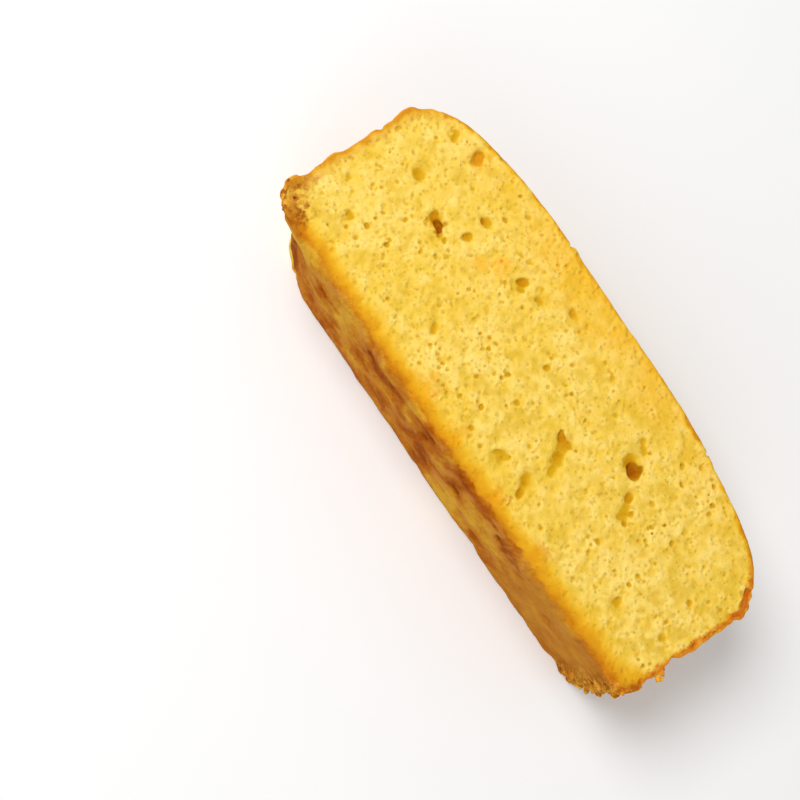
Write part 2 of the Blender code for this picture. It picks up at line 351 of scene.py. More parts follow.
def dome_height(x):
    power = dome_power(x)
    return RIM_HEIGHT + (CAKE_HEIGHT - RIM_HEIGHT) * (1 - abs(x / HALF) ** power) ** (1 / power)


def lip(y, bulge):
    return bulge * math.exp(-(((y - LIP_HEIGHT) / LIP_SPREAD) ** 2))


def corner(x, y, start, end, steps=8):
    """Points of a rounded corner of the base, the angles in degrees."""
    angles = (math.radians(start + (end - start) * i / steps) for i in range(steps + 1))
    return [(x + math.cos(a) * BASE_CORNER, y + math.sin(a) * BASE_CORNER) for a in angles]


def outline():
    """The closed outline of the slice, anticlockwise from the left end of its base."""
    steps = OUTLINE_STEPS
    inner = HALF - BASE_CORNER
    right_foot = HALF - WALL_OUT_RIGHT
    base = []
    for i in range(steps + 1):
        x = -inner + 2 * inner * i / steps
        base.append((x, -BASE_BOW * (1 - (x / inner) ** 2)))
    heights = [BASE_CORNER + (RIM_HEIGHT - BASE_CORNER) * i / steps for i in range(1, steps)]
    right = [(right_foot + WALL_OUT_RIGHT * y / RIM_HEIGHT + lip(y, LIP_RIGHT), y) for y in heights]
    left = [(-HALF + WALL_IN_LEFT * y / RIM_HEIGHT - lip(y, LIP_LEFT), y) for y in reversed(heights)]
    dome = []
    for i in range(4 * steps + 1):
        c = math.cos(math.pi * i / (4 * steps))
        x = math.copysign(abs(c) ** (2 / dome_power(c)), c) * HALF
        y = dome_height(x)
        bulge = lip(y, LIP_RIGHT) if x > 0 else WALL_IN_LEFT * (x / HALF) ** 4 - lip(y, LIP_LEFT)
        dome.append((x + bulge, y))
    right_corner = corner(right_foot - BASE_CORNER, BASE_CORNER, -90, 0)
    left_corner = corner(-inner, BASE_CORNER, 180, 270)
    return np.array(base[:-3] + right_corner + right + dome + left + left_corner[:-1])


class Grid:
    """The points of the field: three axes in mm, and what reads and fills arrays over them."""

    def __init__(self, axes):
        self.axes = [np.asarray(axis, dtype=np.float32) for axis in axes]
        self.shape = tuple(len(axis) for axis in self.axes)
        self.x = self.axes[0][:, None, None]
        self.y = self.axes[1][None, :, None]
        self.z = self.axes[2][None, None, :]

    def full(self, value):
        return np.full(self.shape, value, dtype=np.float32)

    def noise(self, rng, size):
        """Smooth noise of about -1 to 1, whose bumps are this large along x, y and z."""
        sizes = size if isinstance(size, tuple) else (size, size, size)
        weights = []
        for axis, step in zip(self.axes, sizes):
            place = (axis - axis[0]) / step
            cell = np.floor(place).astype(int)
            t = place - cell
            matrix = np.zeros((len(axis), cell[-1] + 4), dtype=np.float32)
            rows = np.arange(len(axis))
            matrix[rows, cell] = (1 - t) ** 3 / 6
            matrix[rows, cell + 1] = (3 * t**3 - 6 * t**2 + 4) / 6
            matrix[rows, cell + 2] = (-3 * t**3 + 3 * t**2 + 3 * t + 1) / 6
            matrix[rows, cell + 3] = t**3 / 6
            weights.append(matrix)
        values = rng.uniform(-2.6, 2.6, [m.shape[1] for m in weights]).astype(np.float32)
        values = np.tensordot(weights[0], values, (1, 0))
        values = np.tensordot(values, weights[1], (1, 1))
        return np.tensordot(values, weights[2], (1, 1))

    def layers(self, rng, layers, start=0):
        """The start with layers of noise on it, each given as an amount and a size."""
        total = start
        for amount, size in layers:
            total = total + amount * self.noise(rng, size)
        return total

    def window(self, centre, reach):
        """The slices of the grid within this reach of a point."""
        cuts = []
        for axis, middle in zip(self.axes, centre):
            first = int(np.searchsorted(axis, middle - reach))
            last = int(np.searchsorted(axis, middle + reach))
            cuts.append(slice(first, last))
        return tuple(cuts)

    def sample(self, values, points):
        """The values at these points, between the grid's own. One layer of values holds at every height."""
        total = np.zeros(len(points))
        bases = []
        parts = []
        for i, axis in enumerate(self.axes):
            base = np.clip(np.searchsorted(axis, points[:, i]) - 1, 0, len(axis) - 2)
            bases.append(base)
            parts.append((points[:, i] - axis[base]) / (axis[base + 1] - axis[base]))
        for index in range(8):
            bits = [(index >> i) & 1 for i in range(3)]
            share = np.ones(len(points))
            for part, bit in zip(parts, bits):
                share = share * (part if bit else 1 - part)
            place = [np.minimum(base + bit, n - 1) for base, bit, n in zip(bases, bits, values.shape)]
            total += share * values[tuple(place)]
        return total


def distance_to_outline(xs, ys, points):
    """The distance of each point of the plan from the outline, below 0 inside."""
    px, py = np.meshgrid(xs, ys, indexing="ij")
    best = np.full(px.shape, 1e9)
    inside = np.zeros(px.shape, dtype=bool)
    for (ax, ay), (bx, by) in zip(points, np.roll(points, -1, axis=0)):
        dx, dy = bx - ax, by - ay
        t = np.clip(((px - ax) * dx + (py - ay) * dy) / max(dx * dx + dy * dy, 1e-12), 0, 1)
        best = np.minimum(best, (px - ax - t * dx) ** 2 + (py - ay - t * dy) ** 2)
        if ay != by:
            crosses = (ay > py) != (by > py)
            inside ^= crosses & (px < ax + (py - ay) / (by - ay) * dx)
    return np.where(inside, -1, 1) * np.sqrt(best)


def random_turn(rng):
    q = rng.normal(size=4)
    q /= np.linalg.norm(q)
    w, x, y, z = q
    return np.array([
        [1 - 2 * (y * y + z * z), 2 * (x * y - z * w), 2 * (x * z + y * w)],
        [2 * (x * y + z * w), 1 - 2 * (x * x + z * z), 2 * (y * z - x * w)],
        [2 * (x * z - y * w), 2 * (y * z + x * w), 1 - 2 * (x * x + y * y)],
    ])


def turn_about_z(angle):
    c, s = math.cos(angle), math.sin(angle)
    return np.array([[c, -s, 0], [s, c, 0], [0, 0, 1]])


def turn_about_y(angle):
    c, s = math.cos(angle), math.sin(angle)
    return np.array([[c, 0, s], [0, 1, 0], [-s, 0, c]])


def add_ball(grid, field, centre, radii, turn):
    """Joins one stretched ball to a field of distances."""
    window = grid.window(centre, max(radii) * 1.4 + 0.9)
    offsets = [
        grid.axes[0][window[0]][:, None, None] - centre[0],
        grid.axes[1][window[1]][None, :, None] - centre[1],
        grid.axes[2][window[2]][None, None, :] - centre[2],
    ]
    local = [turn[0, i] * offsets[0] + turn[1, i] * offsets[1] + turn[2, i] * offsets[2] for i in range(3)]
    reach = np.sqrt(sum((part / r) ** 2 for part, r in zip(local, radii)))
    field[window] = np.minimum(field[window], (reach - 1) * min(radii))


def corner_radius(height):
    """The radius of the left base corner at this height, larger toward the lower cut face."""
    low = np.clip(1 - height / THICKNESS, 0, 1)
    return BASE_CORNER + (FLOOR_CORNER - BASE_CORNER) * low**CORNER_POWER


def at_height(grid, plan):
    """The plan's distances at each height: the ends differ between the lower cut face and the upper."""
    low = np.clip(1 - grid.z / THICKNESS, 0, 1)
    radius = corner_radius(grid.z)
    across = np.minimum(grid.x - (radius - HALF), 0)
    up = np.minimum(grid.y - radius, 0)
    rounded = np.where((across < 0) & (up < 0), np.hypot(across, up) - radius, -HALF)
    flare = FLARE_RIGHT * low * smooth_step(grid.x, HALF - 8, HALF - 2)
    return np.maximum(plan - flare, rounded)


def cut_face_bubbles(grid, pores, rng, level, into, kinds):
    """The small bubbles that a knife opened in one cut face. Into is -1 where the cake lies below it."""
    for count, low, high in kinds:
        for _ in range(count):
            x = rng.uniform(-HALF, HALF)
            y = rng.uniform(0, CAKE_HEIGHT)
            size = low + (high - low) * rng.random() ** 2
            depth = rng.uniform(-0.75, 0.25) * size
            radii = size * rng.uniform(0.75, 1.4, 3)
            add_ball(grid, pores, (x, y, level + into * depth), radii, random_turn(rng))


def shown_holes(grid, hollows, pores, rng):
    """The large bubbles of the upper cut face, each a small cluster so that its rim is uneven."""
    for x, y, size, stretch, angle, depth in HOLES:
        field = hollows if size > SMALL_HOLE else pores
        turn = turn_about_z(math.radians(angle))
        middle = np.array((x, y, THICKNESS - SKIN - depth * size))
        add_ball(grid, field, middle, (size * stretch * 0.9, size * 0.85, size * 0.9), turn)
        for _ in range(5):
            place = middle + turn @ (rng.uniform(-0.6, 0.6, 3) * size * (stretch, 1, 0.8))
            add_ball(grid, field, place, size * rng.uniform(0.3, 0.65, 3), random_turn(rng))


def base_holes(grid, hollows, rng):
    """The larger bubbles that burst in the base crust."""
    for x, below_face, size in BASE_HOLES:
        middle = np.array((x, -0.1, THICKNESS - below_face))
        turn = turn_about_y(rng.uniform(-0.5, 0.5))
        add_ball(grid, hollows, middle, (size, size * 0.8, size * 1.3), turn)
        for _ in range(4):
            place = middle + rng.uniform(-0.8, 0.8, 3) * size * (1, 0.3, 1.3)
            add_ball(grid, hollows, place, size * rng.uniform(0.3, 0.6, 3), random_turn(rng))


def crust_pits(grid, pores, rng, outline_points):
    """Small pits in the crust, many at the two ends and few on the base and the top."""
    steps = np.linalg.norm(np.roll(outline_points, -1, axis=0) - outline_points, axis=1)
    chances = steps / steps.sum()
    for _ in range(CRUST_PITS):
        x, y = outline_points[rng.choice(len(outline_points), p=chances)]
        on_end = abs(x) > HALF - 5
        if not on_end and rng.random() > PITS_OFF_THE_ENDS:
            continue
        size = CRUST_PIT_SIZE + (0.4 if on_end else 0.15) * rng.random() ** 3
        out = rng.uniform(-0.2, 0.5)
        place = (x + math.copysign(out, x), y + rng.uniform(-0.5, 0.5), rng.uniform(0, THICKNESS))
        add_ball(grid, pores, place, size * rng.uniform(0.7, 1.4, 3), random_turn(rng))


def loose_crumbs(grid, rng):
    """Crumbs that hang on at the corners and the rims, each a core with a few lumps on it."""
    crumbs = grid.full(NO_BALL)
    for x, y, z, size, count in CRUMBS:
        add_ball(grid, crumbs, (x, y, z), (0.7 * size, 0.6 * size, 0.7 * size), np.eye(3))
        for _ in range(count):
            place = np.array((x, y, z)) + rng.uniform(-1, 1, 3) * size
            add_ball(grid, crumbs, place, size * rng.uniform(0.3, 0.7, 3), random_turn(rng))
    return crumbs


def spread_inside(seed, allowed):
    """The part of the allowed cells that can be reached from the seed."""
    reached = seed & allowed
    count = 0
    while True:
        grown = reached.copy()
        for axis in range(3):
            ahead = [slice(None)] * 3
            behind = [slice(None)] * 3
            ahead[axis] = slice(1, None)
            behind[axis] = slice(None, -1)
            grown[tuple(ahead)] |= reached[tuple(behind)]
            grown[tuple(behind)] |= reached[tuple(ahead)]
        grown &= allowed
        new = int(grown.sum())
        if new == count:
            return reached
        count = new
        reached = grown


def height_steps():
    """The heights of the grid, closest together at the upper cut face."""
    return np.concatenate([np.arange(low, high, step) for low, high, step in HEIGHT_SPANS])


def furrow_line(height):
    """Where along the slice the left end's crust folds over the base crust at this height."""
    return corner_radius(height) - HALF - FURROW_PAST


def furrow_share(height):
    """How much of that furrow shows: all of it below the middle, and nothing near the upper cut face."""
    return smooth_step(-height, 3 - 0.8 * THICKNESS, 3 - 0.55 * THICKNESS)


def fold_line(grid, rng):
    """How near each point is to the fold that runs across the dome, its ledge and the torn bit on it."""
    height = grid.z / THICKNESS
    line = FOLD_START + FOLD_DRIFT * height + FOLD_SWAY * np.sin(FOLD_TURNS * height)
    line = line + 0.5 * grid.noise(rng, 3.0)
    torn = near(height, TORN_AT, 0.1) * near(grid.x, line + 1.5, 2.4)
    return near(grid.x, line, 0.55), near(grid.x, line + 1.6, 1.3), torn


def stains_and_furrow_shade(places):
    """How much browner than the rest the base crust is at each point, below 0 more golden, with painted
    shade added along the furrow.
    """
    along, up, height = places.T
    total = np.zeros(len(places))
    for x, below_face, reach, drop, share in STAINS:
        total += share * near(along, x, reach) * near(THICKNESS - height, below_face, drop)
    # painted shade along the furrow where the left end's crust folds over the base crust
    furrow = near(along, furrow_line(height), FURROW_WIDTH) * furrow_share(height)
    return (total + 1.2 * furrow) * smooth_step(-up, -9, -4)


def crust_relief(grid, rng):
    """How far the crust stands out at each point: low bumps on the base and the top, crags at the ends."""
    end = smooth_step(np.abs(grid.x), HALF - 4, HALF - 1)
    low = smooth_step(-grid.y, -8, -4)
    base = (1 - end) * low
    top = (1 - end) * (1 - low)
    reach = np.where(grid.x > 0, END_REACH_RIGHT, END_REACH_LEFT)
    relief = end * grid.layers(rng, END_CRAGS, reach)
    bumps = grid.layers(rng, BASE_BUMPS)
    furrow = near(grid.x + 0.6 * grid.noise(rng, 4.0), furrow_line(grid.z), FURROW_WIDTH)
    furrow = furrow * furrow_share(grid.z)
    relief = relief + base * bumps - FURROW_DEPTH * low * furrow
    wrinkles = near(grid.noise(rng, (15, 9, 11)), 0, 0.09) * smooth_step(grid.noise(rng, 12), -0.1, 0.5)
    fold, ledge, torn = fold_line(grid, rng)
    folds = LEDGE_HEIGHT * ledge - FOLD_DEPTH * fold - WRINKLE_DEPTH * wrinkles
    folds = folds + torn * (0.7 * grid.noise(rng, 1.4) - 0.3)
    relief = relief + top * (0.05 + grid.layers(rng, TOP_BUMPS) + folds)
    return corner_relief(grid, rng, relief)


def corner_relief(grid, rng, relief):
    """The relief with the notches of the right end, the foot and the ragged base corners."""
    notches = sum(share * near(grid.y, up, spread) for share, up, spread in NOTCHES)
    notches = notches * smooth_step(grid.x, HALF - 5, HALF - 2)
    notches = notches * smooth_step(grid.z, THICKNESS - 12, THICKNESS - 4)
    relief = relief - NOTCH_DEPTH * notches
    ragged = np.clip(grid.layers(rng, RAGGED), -0.5, 0.9)
    foot = smooth_step(-grid.x, HALF - 18, HALF - 8) * smooth_step(-grid.y, -14, -8)
    relief = relief - FOOT_TRIM * foot * smooth_step(-grid.z, 5 - THICKNESS, 14 - THICKNESS)
    floor_edge = smooth_step(-grid.y, -8, -4) * smooth_step(-grid.z, -18, -8)
    relief = relief + floor_edge * sum(share * near(grid.x, x, spread) for share, x, spread in FLOOR_EDGE)
    left_corner = smooth_step(-grid.x, HALF - 7, HALF - 4) * smooth_step(-grid.y, -13, -8)
    right_corner = smooth_step(grid.x, HALF - 5, HALF - 2) * smooth_step(-grid.y, -7, -3)
    return relief + 0.6 * left_corner * ragged + 0.8 * right_corner * (ragged + 0.5)


def whole_body(grid, rng, plan, relief):
    """The slice without its bubbles, its rims worn, and the dents of its upper cut face."""
    side = at_height(grid, plan) - relief
    dents = grid.layers(rng, DENTS)
    upper = grid.z - (THICKNESS - SKIN) - 0.08 * grid.noise(rng, 5.0) - DENT_DEPTH * dents
    lower = -grid.z + LOWER_SKIN + 0.05 * grid.noise(rng, 1.1)
    low = smooth_step(-grid.y, -7, -3)
    rim = RIM_WEAR + BASE_RIM_WEAR * low * smooth_step(-np.abs(grid.x), 3 - HALF, 12 - HALF)
    return smooth_max(smooth_max(side, upper, rim), lower, LOWER_RIM_WEAR), dents


def within_box(grid, field):
    """The field cut off just inside the CAD box."""
    low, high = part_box(NODE)
    shift = (PLAN_CENTRE[0], PLAN_CENTRE[1], 0)
    for i, axis in enumerate((grid.x, grid.y, grid.z)):
        least = low[i] / MM + shift[i]
        most = high[i] / MM + shift[i]
        field = np.maximum(field, np.maximum(least + BOX_GAP - axis, axis - most + BOX_GAP))
    return field


def without_loose_parts(grid, field, plan, outer):
    """The field without bits that hang in the air and bubbles that are closed all round."""
    solid = field < 0
    core = np.broadcast_to((plan < -6) & (grid.z > 8) & (grid.z < THICKNESS - 8), grid.shape)
    kept = spread_inside(core, solid)
    field[solid & ~kept] = 0.2
    air = spread_inside(np.broadcast_to(outer > 0.3, grid.shape), ~kept)
    field[~kept & ~air] = -0.2
    return field


def cake_field():
    """The slice on a grid: its field, how far out its crust and its unbroken surface lie, and the plan."""
    rng = np.random.default_rng(SEED)
    xs = np.arange(-HALF - 2 - MARGIN, HALF + 3 + MARGIN, CELL)
    ys = np.arange(-2 - MARGIN, CAKE_HEIGHT + 1 + MARGIN, CELL)
    grid = Grid((xs, ys, height_steps()))
    points = outline()
    plan = distance_to_outline(grid.axes[0], grid.axes[1], points).astype(np.float32)[:, :, None]
    relief = crust_relief(grid, rng)
    body, dents = whole_body(grid, rng, plan, relief)
    pores = grid.full(NO_BALL)
    cut_face_bubbles(grid, pores, rng, THICKNESS - SKIN, -1, UPPER_BUBBLES)
    cut_face_bubbles(grid, pores, rng, LOWER_SKIN, 1, LOWER_BUBBLES)
    crust_pits(grid, pores, rng, points)
    hollows = grid.full(NO_BALL)
    shown_holes(grid, hollows, pores, rng)
    base_holes(grid, hollows, rng)
    pores += grid.layers(rng, PORE_WALLS)
    hollows += grid.layers(rng, HOLLOW_WALLS)
    crumbs = loose_crumbs(grid, rng) + 0.2 * grid.noise(rng, 0.7)
    field = smooth_max(smooth_max(body, -hollows, HOLLOW_RIM), -pores, PORE_RIM)
    field = smooth_max(field, np.full_like(field, DEEPEST), DEEPEST_RIM)
    field = -smooth_max(-field, -crumbs, CRUMB_JOIN).astype(np.float32)
    field = within_box(grid, field)
    field = without_loose_parts(grid, field, plan, np.minimum(body, crumbs))
    return grid, field, {"relief": relief, "pit": -body, "plan": plan, "dents": dents}


def surface(grid, field):
    """The zero surface of the field as points in mm and triangles, facing out."""
    volume = openvdb.FloatGrid(background=NO_BALL)
    volume.copyFromArray(np.ascontiguousarray(field))
    places, triangles, quads = volume.convertToPolygons(isovalue=0.0, adaptivity=0.0)
    points = [np.interp(places[:, i], np.arange(len(axis)), axis) for i, axis in enumerate(grid.axes)]
    halves = np.concatenate([quads[:, (0, 1, 2)], quads[:, (0, 2, 3)]])
    return np.stack(points, axis=1), np.concatenate([triangles, halves])


def build_mesh(name, points, faces):
    mesh = bpy.data.meshes.new(name)
    mesh.from_pydata(points, [], faces)
    mesh.update()
    piece = bpy.data.objects.new(name, mesh)
    bpy.context.scene.collection.objects.link(piece)
    return piece


def coordinates(mesh):
    flat = np.empty(len(mesh.vertices) * 3)
    mesh.vertices.foreach_get("co", flat)
    return flat.reshape(-1, 3)


def decimate(piece, low, high, limit):
    """Brings the triangles between two heights down to the limit, and leaves the others alone."""
    mesh = piece.data
    heights = coordinates(mesh)[:, 2]
    chosen = (heights >= low) & (heights < high)
    corners = np.empty(len(mesh.loops), dtype=np.int32)
    mesh.loops.foreach_get("vertex_index", corners)
    count = int(chosen[corners].reshape(-1, 3).all(axis=1).sum())
    group = piece.vertex_groups.new(name="chosen")
    group.add(np.nonzero(chosen)[0].tolist(), 1.0, "REPLACE")
    modifier = piece.modifiers.new("decimate", "DECIMATE")
    modifier.ratio = 1 - max(0, count - limit) / len(mesh.polygons)
    modifier.vertex_group = group.name
    modifier.vertex_group_factor = 1.0
    bpy.context.view_layer.update()
    result = bpy.data.meshes.new_from_object(piece.evaluated_get(bpy.context.evaluated_depsgraph_get()))
    piece.modifiers.clear()
    piece.vertex_groups.clear()
    piece.data = result
    bpy.data.meshes.remove(mesh)
    result.name = piece.name


def store(mesh, name, values, least, most):
    """Keeps a value of each vertex for the material to read."""
    attribute = mesh.attributes.new(name, "FLOAT", "POINT")
    attribute.data.foreach_set("value", np.clip(values, least, most).astype(np.float32))


def make_cake():
    grid, field, parts = cake_field()
    points, triangles = surface(grid, field)
    piece = build_mesh("cake", points.tolist(), triangles.tolist())
    for low, high, limit in TRIANGLE_SHARES:
        decimate(piece, low, high, limit)
    mesh = piece.data
    places = coordinates(mesh)
    inward = -grid.sample(parts["plan"], places)
    near_cut = np.minimum(THICKNESS - places[:, 2], places[:, 2])
    store(mesh, "rim", inward, 0, 20)
    store(mesh, "turn", near_cut - inward, -8, 8)
    store(mesh, "pit", grid.sample(parts["pit"], places), 0, 5)
    store(mesh, "stain_and_furrow_shade", stains_and_furrow_shade(places), -2, 2)
    store(mesh, "relief", grid.sample(parts["relief"], places), -2, 2)
    store(mesh, "dents", grid.sample(parts["dents"], places), -1, 1)
    moved = (places - (PLAN_CENTRE[0], PLAN_CENTRE[1], 0)) * MM
    mesh.vertices.foreach_set("co", moved.ravel())
    mesh.update()
    mesh.shade_smooth()
    return piece


def node(tree, kind, **values):
    made = tree.nodes.new(kind)
    for name, value in values.items():
        setattr(made, name, value)
    return made


def srgb(red, green, blue):
    """A colour given as it shows on a screen, 0 to 255, as the shader's own values."""
    def linear(part):
        part /= 255
        return part / 12.92 if part <= 0.04045 else ((part + 0.055) / 1.055) ** 2.4

    return (linear(red), linear(green), linear(blue), 1.0)


class Shading:
    """Short forms for the nodes of one material. A tuple of three is a colour as it shows on a screen."""

    def __init__(self, name):
        self.material = bpy.data.materials.new(name)
        self.material.use_nodes = True
        self.tree = self.material.node_tree
        self.shader = self.tree.nodes["Principled BSDF"]
        self.place = node(self.tree, "ShaderNodeTexCoord").outputs["Object"]

    def plug(self, value, socket):
        if isinstance(value, bpy.types.NodeSocket):
            self.tree.links.new(value, socket)
        elif isinstance(value, tuple):
            socket.default_value = srgb(*value)
        else:
            socket.default_value = value

    def attribute(self, name):
        return node(self.tree, "ShaderNodeAttribute", attribute_name=name).outputs["Fac"]

    def math(self, operation, a, b=0.0):
        made = node(self.tree, "ShaderNodeMath", operation=operation)
        self.plug(a, made.inputs[0])
        self.plug(b, made.inputs[1])
        return made.outputs[0]

    def product(self, first, *others):
        for other in others:
            first = self.math("MULTIPLY", first, other)
        return first

    def sway(self, noise, amount, middle=0.5):
        """Noise as a drift of up to about a third of this amount to either side."""
        return self.math("MULTIPLY", self.math("SUBTRACT", noise, middle), amount)

    def between(self, value, low, high, start=0.0, end=1.0):
        """The value from low to high as start to end, and no further."""
        made = node(self.tree, "ShaderNodeMapRange")
        made.interpolation_type = "SMOOTHSTEP"
        for name, part in (("Value", value), ("From Min", low), ("From Max", high)):
            self.plug(part, made.inputs[name])
        made.inputs["To Min"].default_value = start
        made.inputs["To Max"].default_value = end
        return made.outputs["Result"]

    def between_mm(self, place, low, high, start=0.0, end=1.0):
        """The same for a place in the scene, with the limits in mm."""
        return self.between(place, low * MM, high * MM, start, end)

    def stretched(self, scale):
        """The place, scaled by 1 mm over each size in mm."""
        made = node(self.tree, "ShaderNodeMapping")
        made.inputs["Scale"].default_value = [1 / (s * MM) for s in scale]
        self.tree.links.new(self.place, made.inputs["Vector"])
        return made.outputs["Vector"]

    def noise(self, size, detail=3.0, roughness=0.55, distortion=0.0):
        """Noise whose patches are this large in mm, or this large along x, y and z."""
        sizes = size if isinstance(size, tuple) else (size, size, size)
        made = node(self.tree, "ShaderNodeTexNoise")
        self.plug(self.stretched(sizes), made.inputs["Vector"])
        made.inputs["Scale"].default_value = 1.0
        made.inputs["Detail"].default_value = detail
        made.inputs["Roughness"].default_value = roughness
        made.inputs["Distortion"].default_value = distortion
        return made.outputs["Fac"]

    def spots(self, size, radius, share):
        """Soft round spots in some of the cells of this size in mm, their radius in sizes."""
        made = node(self.tree, "ShaderNodeTexVoronoi")
        self.plug(self.stretched((size, size, size)), made.inputs["Vector"])
        made.inputs["Scale"].default_value = 1.0
        chosen = self.math("LESS_THAN", made.outputs["Color"], share)
        return self.product(self.between(made.outputs["Distance"], radius * 0.3, radius, 1.0, 0.0), chosen)

    def mix(self, share, a, b):
        made = node(self.tree, "ShaderNodeMix", data_type="RGBA")
        self.plug(share, made.inputs[0])
        self.plug(a, made.inputs[6])
        self.plug(b, made.inputs[7])
        return made.outputs[2]

    def ramp(self, value, stops):
        made = node(self.tree, "ShaderNodeValToRGB")
        elements = made.color_ramp.elements
        while len(elements) < len(stops):
            elements.new(0.5)
        for element, (place, colour) in zip(elements, stops):
            element.position = place
            element.color = srgb(*colour)
        self.plug(value, made.inputs["Fac"])
        return made.outputs["Color"]

    def bump(self, height, distance, after=None):
        made = node(self.tree, "ShaderNodeBump")
        made.inputs["Distance"].default_value = distance * MM
        made.inputs["Strength"].default_value = 1.0
        self.plug(height, made.inputs["Height"])
        if after is not None:
            self.plug(after, made.inputs["Normal"])
        return made.outputs["Normal"]


class SpongeShading(Shading):
    """The slice's material: crumb on the cut faces, crust on the rest, and browning where they meet."""

    def __init__(self):
        super().__init__("sponge")
        self.rim = self.attribute("rim")
        self.pit = self.attribute("pit")
        self.relief = self.attribute("relief")
        self.stain_and_furrow_shade = self.attribute("stain_and_furrow_shade")
        self.dents = self.attribute("dents")
        separate = node(self.tree, "ShaderNodeSeparateXYZ")
        self.plug(self.place, separate.inputs[0])
        height = separate.outputs["Z"]
        self.along = self.math("ADD", separate.outputs["X"], PLAN_CENTRE[0] * MM)
        self.up = self.math("ADD", separate.outputs["Y"], PLAN_CENTRE[1] * MM)
        self.rim_height = self.math("MINIMUM", height, self.math("SUBTRACT", THICKNESS * MM, height))
        self.fine = self.noise((1.1, 1.2, 3.0), 3)
        self.fine_spots = self.spots(0.95, 0.42, 0.4)
        self.low = self.between_mm(self.up, 4, 10, 1.0, 0.0)
        short_of_left = self.between_mm(self.along, -59, -48)
        short_of_right = self.between_mm(self.along, 54, 60, 1.0, 0.3)
        self.band = self.product(self.low, self.product(short_of_left, short_of_right))

    def crust_share(self):
        """1 on the crust and 0 on the cut faces. The edge between them wanders along the base."""
        drift = self.sway(self.noise((3.5, 3.5, 5.0), 4, 0.6), 7.0, 0.48)
        turn = self.math("ADD", self.attribute("turn"), self.product(drift, self.band))
        turn = self.math("SUBTRACT", turn, self.between_mm(self.up, 31, 38, 0.0, 0.7))
        return self.between(turn, 0.2, 1.6)

    def crumb(self):
        """Pale and mottled, with fine pits. Painted shade darkens the dents, the fine pits and the bubbles,
        these olive to brown with depth, and painted highlight lightens the ridges between the dents.
        """
        crumb = self.mix(self.between(self.noise(10.0, 4), 0.35, 0.65), CRUMB, PALE_CRUMB)
        crumb = self.mix(self.between(self.noise(2.4, 3), 0.42, 0.62, 0.0, 0.5), crumb, (230, 189, 56))
        # painted shade in the low spots of the dents, painted highlight on the high spots
        crumb = self.mix(self.between(self.dents, -0.7, 0.05, 0.6, 0.0), crumb, DENT_SHADE)
        crumb = self.mix(self.between(self.dents, 0.1, 0.7, 0.0, 0.55), crumb, RIDGE_HIGHLIGHT)
        crumb = self.mix(self.between(self.noise(0.9, 2), 0.52, 0.72, 0.0, 0.45), crumb, (206, 168, 46))
        crumb = self.mix(self.product(self.spots(2.4, 0.36, 0.4), 0.45), crumb, (212, 174, 42))
        # painted shade in the fine pits that the grain's bump sinks
        crumb = self.mix(self.product(self.fine_spots, 0.4), crumb, (196, 162, 44))
        # painted shade inside the bubbles: the deeper the wall lies below the cut face, the darker
        inside = self.ramp(self.product(self.pit, 0.25), BUBBLE_SHADE)
        return self.mix(self.between(self.pit, 0.15, 0.6), crumb, inside)

    def browned(self, crumb):
        """The cut face near its rim: browned, widest along the base."""
        right = self.between_mm(self.along, 30, 50)
        reach = self.product(self.band, self.math("ADD", 2.6, self.product(right, 1.2)))
        reach = self.math("ADD", reach, 0.8)
        wander = self.sway(self.noise(4.0, 3), 4.0)
        t = self.math("DIVIDE", self.math("ADD", self.rim, wander), reach)
        brown = self.ramp(self.product(t, 0.5), BROWNED)
        return self.mix(self.between(t, 0.7, 1.7, 1.0, 0.0), crumb, brown)

    def tinted_and_shaded(self, face):
        # tints of the crumb, and painted shade in some of the named bubbles
        for x, y, size, share, patch_colour in TINTS_AND_BUBBLE_SHADE:
            across = self.math("SUBTRACT", self.along, x * MM)
            upward = self.math("SUBTRACT", self.up, y * MM)
            square = self.math("ADD", self.product(across, across), self.product(upward, upward))
            ragged = self.sway(self.noise(1.5, 4, 0.65), 3.0 * size * MM)
            away = self.math("ADD", self.math("SQRT", square), ragged)
            face = self.mix(self.between_mm(away, 0.1 * size, 1.1 * size, share, 0.0), face, patch_colour)
        return face

    def left_rim(self, face):
        edge = self.math("ADD", self.rim, self.sway(self.noise(1.6, 4, 0.65), 5.0))
        on_end = self.between_mm(self.along, -57, -50, 1.0, 0.0)
        return self.mix(self.product(self.between(edge, 0.5, 3.0, 0.6, 0.0), on_end), face, (206, 146, 40))

    def base_rim(self, face):
        patches = self.product(self.between(self.noise(3.5, 4), 0.45, 0.6, 0.0, 0.6), self.band)
        share = self.product(self.between(self.rim, 0.3, 1.8, 1.0, 0.0), patches)
        return self.mix(share, face, (176, 98, 14))

    def right_rim(self, face):
        """A narrow, jagged line of orange crust, with painted shade in the tear near the dome."""
        edge = self.math("ADD", self.rim, self.sway(self.noise(1.9, 5, 0.7), 3.6))
        edge = self.product(self.between(edge, 0.6, 1.5, 0.95, 0.0), self.between_mm(self.along, 51, 56))
        face = self.mix(edge, face, self.ramp(self.noise(1.8, 4), RIGHT_RIM))
        off_line = self.math("ABSOLUTE", self.math("SUBTRACT", self.rim, 1.2))
        # painted shade in the tear
        tear_shade = self.product(
            self.between_mm(self.up, 26.5, 28.5),
            self.between_mm(self.up, 33.5, 35, 1.0, 0.0),
            self.between_mm(self.along, 55, 57),
            self.between(off_line, 0.3, 0.8, 0.8, 0.0),
        )
        return self.mix(tear_shade, face, TEAR_SHADE)

